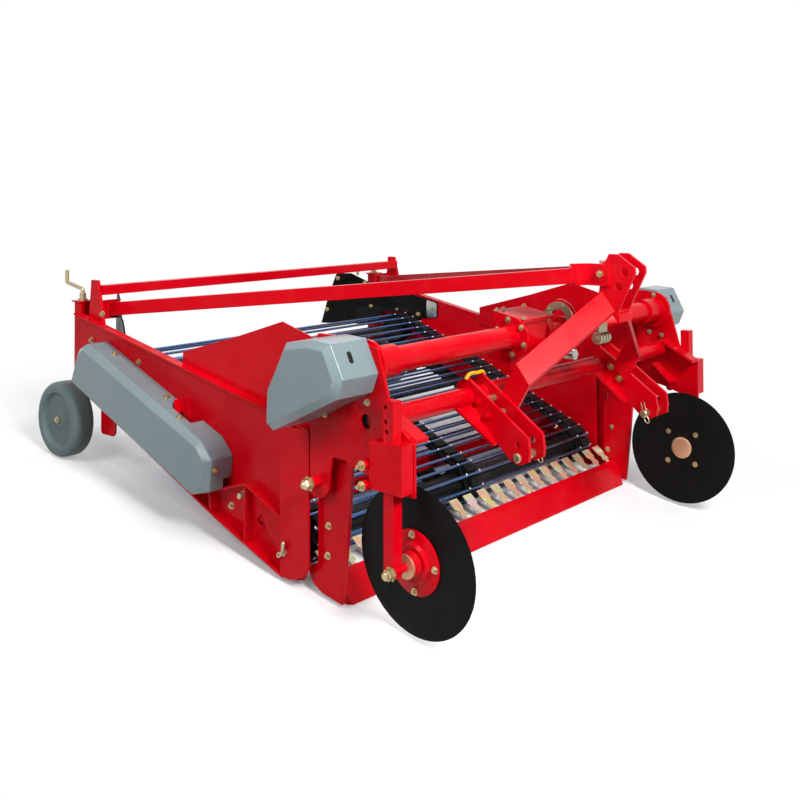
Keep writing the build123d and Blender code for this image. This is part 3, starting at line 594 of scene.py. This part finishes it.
roller_black = painted("roller_black", (0.010, 0.010, 0.011), (0.018, 0.017, 0.016), 0.45, gloss=0.1,
                       dust=0.06)
for name in ("front_roller", "middle_roller", "web_shaft"):
    coat_node(name, roller_black, 0.002)

# ------------------------------------------------------------------ hitch
# Mast, bent struts and flat braces over the hitch tube, and two lower clevises with their pins.
# The struts face the light, so their paint shows the widest band of gloss.
for name in ("hitch_beam", "mast"):
    coat_node(name, red_paint)
for side in ("left", "right"):
    for name in ("clevis", "strut", "brace"):
        coat_node(f"{name}_{side}", red_paint, 0.0016)
CLEVIS_INSIDE, CLEVIS_SLOT, CLEVIS_FACE = 0.361, 0.373, 0.452
CROSS_BOLTS = ((-0.198, 0.5645), (-0.233, 0.526))
for side, k in (("left", 1), ("right", -1)):
    near = k * CLEVIS_FACE
    fitted(f"clevis_spacers_{side}", "frame", zinc, "zinc",
           *[turned([(0, 0), (0, 0.011), (0.067, 0.011), (0.067, 0)], (k * CLEVIS_SLOT, y, z), OUT[k], 20)
             for y, z in CROSS_BOLTS],
           turned([(0, 0), (0, 0.0138), (0.091, 0.0138), (0.091, 0)], (k * CLEVIS_INSIDE, PIN_Y, PIN_Z),
                  OUT[k], 28),
           turned([(0, 0), (0, 0.0145), (0.004, 0.0145), (0.007, 0.011), (0.007, 0)], (near, PIN_Y, PIN_Z),
                  OUT[k], 28),
           turned([(0, 0), (0, 0.0138), (0.024, 0.0138), (0.027, 0.011), (0.027, 0)],
                  (k * CLEVIS_INSIDE, PIN_Y, PIN_Z), OUT[-k], 28),
           spring_clip(k * 0.345, PIN_Y + 0.004, PIN_Z - 0.006, (0, 0.2, 1)))
    bolts(f"clevis_bolts_{side}", "frame", [(near, y, z, OUT[k]) for y, z in CROSS_BOLTS], 0.0080, red_paint,
          "red_paint")
    bolts(f"clevis_nuts_{side}", "frame",
          [(k * CLEVIS_INSIDE, y, z, OUT[-k]) for y, z in CROSS_BOLTS], 0.0085)
    bolts(f"brace_bolts_{side}", "frame", [(k * 0.0515, -0.398, 0.943, OUT[k])], 0.0105)
    bolts(f"brace_washers_{side}", "frame", [(k * 0.0513, -0.398, 0.943, OUT[k])], 0.011, red_paint,
          "red_paint", Washer=0.026, Washer_Thick=0.003, Head=0.001, Stub=0.001)
strap_yellow = painted("strap_yellow", (0.80, 0.42, 0.01), (0.70, 0.34, 0.01), 0.4, gloss=0.3, dust=0.05)
fitted("keeper_strap", "frame", strap_yellow, "zinc",
       bent([(-0.360, -0.150, 0.630), (-0.366, -0.152, 0.640), (-0.385, -0.160, 0.645),
             (-0.405, -0.154, 0.641), (-0.430, -0.158, 0.646), (-0.448, -0.153, 0.641),
             (-0.454, -0.150, 0.628)], 0.0062))

# ------------------------------------------------------------------ drive line
# The cast gearbox hangs between two shaft tubes, and its splined stub faces the tractor.
# The cast skin under the paint is rougher than the plates.
cast_paint = painted("cast_paint", RED, DEEP_RED, 0.28, gloss=0.12, ripple=0.9, dust=0.03)
coat_node("gearbox", cast_paint, 0.003)
for side in ("left", "right"):
    coat_node(f"drive_tube_{side}", red_paint, 0.0015)
TILT = math.radians(10)
GEAR_Y, GEAR_Z = -0.114, 0.723
RING_X, RING_Z = 0.1365, 0.755
KEEPER_Y, KEEPER_Z = -0.370, 0.728
STUB_X, STUB_Z = -0.060, 0.672
GEAR_UP = (0, -math.sin(TILT), math.cos(TILT))


def on_gearbox(x, y, z):
    """A place on the tilted gearbox, given from its drive shafts' axis."""
    return (x, GEAR_Y + y * math.cos(TILT) - z * math.sin(TILT),
            GEAR_Z + y * math.sin(TILT) + z * math.cos(TILT))


bolts("gearbox_cover_bolts", "frame", [(*on_gearbox(x, y, 0.067), GEAR_UP) for x, y in (
    (0.026, 0.084), (-0.099, 0.084), (-0.138, 0.084), (0.026, -0.026), (-0.138, -0.026))], 0.0062)
bolts("tube_flange_bolts", "frame",
      [(-0.162, GEAR_Y + 0.058 * math.cos(a), GEAR_Z + 0.058 * math.sin(a), OUT[-1])
       for a in (math.radians(22 + 60 * k) for k in range(6))], 0.0065)
fitted("tube_ring", "frame", zinc, "zinc",
       turned([(0, 0.034), (0, 0.060), (0.004, 0.062), (0.004, 0.034)], (RING_X, GEAR_Y, RING_Z),
              (1, 0, 0), 48),
       turned([(0, 0), (0, 0.006), (0.006, 0.006), (0.006, 0)], on_gearbox(-0.120, -0.030, 0.020),
              (0, -math.cos(TILT), -math.sin(TILT)), 16))
bolts("tube_ring_studs", "frame",
      [(RING_X, GEAR_Y + 0.050 * math.cos(a), RING_Z + 0.050 * math.sin(a), OUT[-1])
       for a in (math.radians(72 * n + 40) for n in range(5))], 0.0045)
fitted("link_keeper", "frame", zinc, "zinc",
       *[turned([(0, 0), (0, 0.018), (0.006, 0.020), (0.012, 0.018), (0.012, 0)], (x, KEEPER_Y, KEEPER_Z),
                (1, 0, 0), 24) for x in (-0.036, -0.018, 0.0, 0.018)],
       turned([(0, 0), (0, 0.008), (0.080, 0.008), (0.080, 0)], (-0.044, KEEPER_Y, KEEPER_Z), (1, 0, 0), 20),
       prism([(x, -0.376, z) for x, z in ((-0.030, 0.735), (0.024, 0.735), (0.024, 0.789), (-0.030, 0.789))],
             (0, 0.010, 0)))
for side, k in (("left", 1), ("right", -1)):
    fitted(f"plate_bushing_{side}", "frame", roller_black, "roller_black",
           turned([(0, 0), (0, 0.026), (0.004, 0.026), (0.004, 0.016), (0.001, 0.015), (0.001, 0)],
                  (k * 0.867, *PLATE_HOLE), OUT[k], 28))
    bolts(f"housing_bolts_{side}", "frame",
          [(k * x, y, z, OUT[-k]) for x, y, z in ((0.860, -0.117, 0.783), (0.872, -0.091, 0.629),
                                                  (0.872, -0.145, 0.620), (0.860, -0.058, 0.733))], 0.006)

bright_steel = painted("bright_steel", (0.50, 0.50, 0.49), (0.40, 0.39, 0.37), 0.26, metal=0.95, dust=0.1)
SPLINES = 6
star = []
for n in range(SPLINES):
    for part, radius in ((-0.30, 0.0172), (-0.15, 0.0172), (0.15, 0.0172), (0.30, 0.0172), (0.36, 0.0142),
                         (0.64, 0.0142)):
        angle = math.tau * (n + part) / SPLINES
        star.append((STUB_X + radius * math.cos(angle), -0.234, STUB_Z + radius * math.sin(angle)))
stub = fitted("pto_stub", "pto_shaft", bright_steel, "bright_steel", prism(star, (0, -0.071, 0)),
              turned([(0, 0), (0, 0.0218), (-0.091, 0.0218), (-0.095, 0.017), (-0.095, 0)],
                     (STUB_X, -0.139, STUB_Z), (0, 1, 0), 32))
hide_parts("pto_shaft")

# ------------------------------------------------------------------ coulters
# Each disc is a turned black blade, bolted to a red hub on its shank.
# A clamp sleeve with two bolts on the outer plate holds the shank at any of its holes.
disc_black = painted("disc_black", (0.006, 0.006, 0.0055), (0.010, 0.0095, 0.009), 0.42, gloss=0.05,
                     ripple=0.15, dust=0.012)
cap_zinc = painted("cap_zinc", (0.62, 0.36, 0.20), (0.55, 0.26, 0.16), 0.4, ripple=0.1, dust=0.2, metal=0.5)
at_disc = Matrix.Translation((0.821, -0.254, 0.190)) @ Matrix.Rotation(math.radians(2.5), 4, "Z") \
    @ Matrix.Rotation(math.radians(3.6), 4, "Y")
DISC_PLACES = {"left": at_disc, "right": Matrix.Diagonal((-1, 1, 1, 1)) @ at_disc}
BOLT_CIRCLE = 0.080
SLEEVE_BOLT_Y, SLEEVE_BOLT_HEIGHTS = -0.163, (0.407, 0.463)


def on_disc(side, *meshes):
    """Meshes drawn about a disc's own axle, moved to the left or right disc."""
    for mesh in meshes:
        mesh.transform(DISC_PLACES[side])
        if side == "right":
            mesh.flip_normals()
    return meshes


for side, k in (("left", 1), ("right", -1)):
    blade = fitted(f"disc_blade_{side}", f"disc_{side}", disc_black, "black_paint", *on_disc(
        side, turned([(-0.0025, 0), (-0.0025, 0.120), (-0.0035, 0.150), (-0.0025, 0.197), (0.0, 0.2145),
                      (0.0025, 0.197), (0.0015, 0.150), (0.0025, 0.120), (0.0025, 0)], (0, 0, 0), steps=96)))
    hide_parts(f"disc_{side}")
    fitted(f"disc_hub_{side}", f"disc_{side}", red_paint, "red_paint", *on_disc(
        side, turned([(0.0024, 0), (0.0024, 0.090), (0.004, 0.092), (0.0095, 0.092), (0.0105, 0.090),
                      (0.0105, 0.046), (0.013, 0.042), (0.042, 0.029), (0.044, 0.027), (0.044, 0)],
                     (0, 0, 0)),
        turned([(0.010, 0.044), (0.010, 0.060), (0.013, 0.060), (0.020, 0.052), (0.020, 0.040)], (0, 0, 0))))
    fitted(f"disc_cap_{side}", f"disc_{side}", cap_zinc, "zinc", *on_disc(
        side, turned([(-0.0024, 0), (-0.0024, 0.041), (-0.0060, 0.041), (-0.0085, 0.037), (-0.0095, 0.030),
                      (-0.0095, 0)], (0, 0, 0)),
        turned([(0.040, 0), (0.040, 0.034), (0.046, 0.034), (0.046, 0)], (0, 0, 0))))
    first_bolt = 45 if side == "left" else 0
    spots = [(BOLT_CIRCLE * math.cos(a), BOLT_CIRCLE * math.sin(a))
             for a in (math.radians(first_bolt + 90 * n) for n in range(4))]
    place = DISC_PLACES[side]
    face = place.to_3x3() @ Vector((1, 0, 0))
    bolts(f"disc_bolts_{side}", f"disc_{side}",
          [(*(place @ Vector((0.0105, y, z))), tuple(face)) for y, z in spots]
          + [(*(place @ Vector((-0.0025, y, z))), tuple(-face)) for y, z in spots], 0.0064)
    coat_node(f"coulter_shank_{side}", red_paint, 0.0015,
                      [((k * 0.920, y, z), OUT[k], 0.0065, 20) for y, z in ((-0.229, 0.627), (-0.230, 0.587),
                                                                           (-0.233, 0.560))])
    coat_node(f"coulter_sleeve_{side}", red_paint, 0.002)
    fitted(f"sleeve_front_{side}", "frame", red_paint, "red_paint",
           prism([(k * 0.883, y, z) for y, z in ((-0.268, 0.398), (-0.268, 0.534),
                                                 (-0.297, 0.534), (-0.297, 0.398))], (k * 0.048, 0, 0)),
           *[turned([(0, 0), (0, 0.0115), (0.013, 0.0115), (0.013, 0)], (k * 0.930, SLEEVE_BOLT_Y, z),
                    OUT[k], 6) for z in SLEEVE_BOLT_HEIGHTS],
           *[turned([(0, 0), (0, 0.015), (0.030, 0.015), (0.030, 0)], (k * 0.900, SLEEVE_BOLT_Y, z),
                    OUT[k], 24) for z in SLEEVE_BOLT_HEIGHTS])
    bolts(f"sleeve_bolts_{side}", "frame",
          [(k * 0.943, SLEEVE_BOLT_Y, z, OUT[k]) for z in SLEEVE_BOLT_HEIGHTS], 0.0085, Stub=0.010)
    fitted(f"axle_nut_{side}", "frame", zinc, "zinc", *on_disc(
        side, turned([(0.0998, 0), (0.0998, 0.0205), (0.1030, 0.0205), (0.1030, 0.0165), (0.1165, 0.0165),
                      (0.1185, 0.0145), (0.1185, 0)], (0, 0, 0), steps=6),
        turned([(0.110, 0), (0.110, 0.0115), (0.1245, 0.0115), (0.1265, 0.0095), (0.1265, 0)], (0, 0, 0),
               steps=20)))

# ------------------------------------------------------------------ chain covers
# Pressed steel covers in a pale blue-grey gloss, screwed to the frame over the chains.
# The front ones have a short slot for looking at the chain; it is not cut, and black plugs set on the cover
# are painted shade in its place.
cover_grey = painted("cover_grey", (0.21, 0.27, 0.285), (0.18, 0.24, 0.255), 0.22, gloss=0.35, ripple=0.2,
                     coat=0.1, dust=0.04)
SLOT_WAY, SLOT_DOWN = Vector((0, -0.889, 0.459)), Vector((0, -0.459, -0.889))
coat_node("side_cover_right", cover_grey, 0.003)
for side, k in (("left", 1), ("right", -1)):
    shade_plug_middles = [Vector((k * 0.970, -0.1455, 0.760)) + SLOT_DOWN * step for step in (-0.009, 0, 0.009)]
    coat_node(f"front_cover_{side}", cover_grey, 0.003)
    # Black plugs over the slot: painted shade where the dark opening would be.
    fitted(f"slot_shade_plug_{side}", "frame", roller_black, "roller_black",
           *[turned([(-0.004, 0), (-0.004, 0.0085), (0.0006, 0.0085), (0.0006, 0.0068), (0.0002, 0.0060),
                     (0.0002, 0)], spot, SLOT_WAY, 24) for spot in shade_plug_middles])
fitted("side_cover_bracket", "frame", red_paint, "red_paint",
       prism([(-0.855, y, z) for y, z in ((0.700, 0.452), (0.752, 0.470), (0.752, 0.512), (0.720, 0.508))],
             (-0.006, 0, 0)),
       prism([(-0.855, y, z) for y, z in ((0.746, 0.468), (0.752, 0.470), (0.752, 0.512), (0.746, 0.511))],
             (-0.036, 0, 0)))
bolts("side_cover_bolts", "frame", [(-0.925, 0.4905, 0.330, (0, -1, 0))], 0.0075)
bolts("side_cover_near_bolt", "frame", [(-0.922, 0.678, 0.469, (0, -0.35, 0.94))], 0.0065)
bolts("side_cover_top_bolts", "frame",
      [(-0.885, y, z, (0, -0.35, 0.94)) for y, z in ((1.108, 0.6275), (0.800, 0.5135))], 0.0065)

# ------------------------------------------------------------------ deflector boards
# Two black boards steer the crop inwards at the web's rear, bolted through from the front.
# A rubber flap hangs from each, and a bright plate clamps its flange to the side wall.
for side in ("left", "right"):
    coat_node(f"deflector_{side}", disc_black, 0.001)
BOARD_FOOT, BOARD_WAY = Vector((0.8417, 1.102, 0)), Vector((-0.5, 0.866, 0))


def on_board(along):
    """A place on the left board's front, measured from its foot at the side wall."""
    return BOARD_FOOT + BOARD_WAY * along


for side, k in (("left", 1), ("right", -1)):
    rows = []
    for along, z in ((0.424, 0.778), (0.287, 0.758), (0.480, 0.624), (0.257, 0.643), (0.126, 0.631),
                     (0.022, 0.609)):
        spot_here = on_board(along)
        rows.append((k * spot_here.x, spot_here.y, z, (-k * 0.866, -0.5, 0)))
    bolts(f"deflector_bolts_{side}", "frame", rows, 0.0062)
    flap = []
    for along, z in ((0.060, 0.642), (0.060, 0.6205), (0.200, 0.6205), (0.216, 0.600), (0.222, 0.556),
                     (0.335, 0.556), (0.335, 0.642)):
        spot_here = on_board(along)
        flap.append((k * (spot_here.x - 0.0005), spot_here.y - 0.0003, z))
    fitted(f"deflector_flap_{side}", "frame", belt_rubber, "belt_rubber",
           prism(flap, (-k * 0.0035, -0.002, 0)))
    fitted(f"deflector_clamp_{side}", "frame", bright_steel, "bright_steel",
           prism([(k * 0.8415, y, z) for y, z in (
               (1.012, 0.604), (1.016, 0.600), (1.070, 0.596), (1.074, 0.600),
               (1.074, 0.676), (1.070, 0.680), (1.016, 0.669), (1.012, 0.665))], (-k * 0.003, 0, 0)))
    bolts(f"deflector_clamp_bolts_{side}", "frame", [(k * 0.8385, 1.040, 0.640, OUT[-k])], 0.006)

# ------------------------------------------------------------------ wheels, their legs and cranks
# Solid wheels turn on legs that slide in the rear posts, set by a bent zinc crank over each cap.
# The left crank is turned so that its handle hangs, and the right one's stands.
POST_X, LEG_HALF = 0.828, 0.017
AXLE_Y, AXLE_Z = 1.410, 0.357
for side, k in (("left", 1), ("right", -1)):
    leg = fitted(f"leg_tube_{side}", f"leg_{side}", red_paint, "red_paint",
                 prism([(k * POST_X + x, AXLE_Y + y, 0.335) for x, y in (
                     (-LEG_HALF, -LEG_HALF), (LEG_HALF, -LEG_HALF),
                     (LEG_HALF, LEG_HALF), (-LEG_HALF, LEG_HALF))],
                       (0, 0, 0.385)),
                 turned([(0, 0), (0, 0.012), (0.100, 0.012), (0.100, 0)], (k * POST_X, AXLE_Y, AXLE_Z),
                        OUT[k], 32))
    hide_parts(f"wheel_leg_{side}")
wheel_grey = painted("wheel_grey", (0.15, 0.205, 0.20), (0.12, 0.16, 0.155), 0.42, gloss=0.15, dust=0.08)
CRANK_WAYS = {"right": ((1.410, 0.800), (1.410, 0.826), (1.410, 0.838), (1.422, 0.840), (1.466, 0.848),
                        (1.510, 0.856), (1.522, 0.858), (1.522, 0.870), (1.522, 0.905)),
              "left": ((1.410, 0.800), (1.410, 0.824), (1.410, 0.834), (1.422, 0.834), (1.466, 0.830),
                       (1.510, 0.826), (1.522, 0.825), (1.522, 0.813), (1.522, 0.778))}
WHEEL_ROWS = [(0.030, 0.0123), (0.030, 0.028), (0.026, 0.033), (0.022, 0.060), (0.024, 0.092),
              (0.034, 0.099), (0.0395, 0.103), (0.0415, 0.115), (0.040, 0.126), (0.035, 0.134),
              (0.026, 0.139), (0.012, 0.140)]
WHEEL_ROWS += [(-along, radius) for along, radius in reversed(WHEEL_ROWS)]
for side, k in (("left", 1), ("right", -1)):
    tyre = fitted(f"wheel_tyre_{side}", f"wheel_{side}", wheel_grey, "wheel_grey",
                  turned(WHEEL_ROWS, (k * 0.898, AXLE_Y, AXLE_Z), steps=96))
    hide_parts(f"wheel_{side}")
    bolts(f"wheel_nut_{side}", f"leg_{side}", [(k * 0.9205, AXLE_Y, AXLE_Z, OUT[k])], 0.012)
    screw = fitted(f"crank_bar_{side}", "frame", zinc, "zinc",
                   bent([(k * POST_X, y, z) for y, z in CRANK_WAYS[side]], 0.0075),
                   turned([(0, 0), (0, 0.018), (0.006, 0.018), (0.006, 0.0125), (0.026, 0.0125),
                           (0.029, 0.010), (0.029, 0)], (k * POST_X, AXLE_Y, 0.796), (0, 0, 1), 28))
    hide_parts(f"crank_{side}")
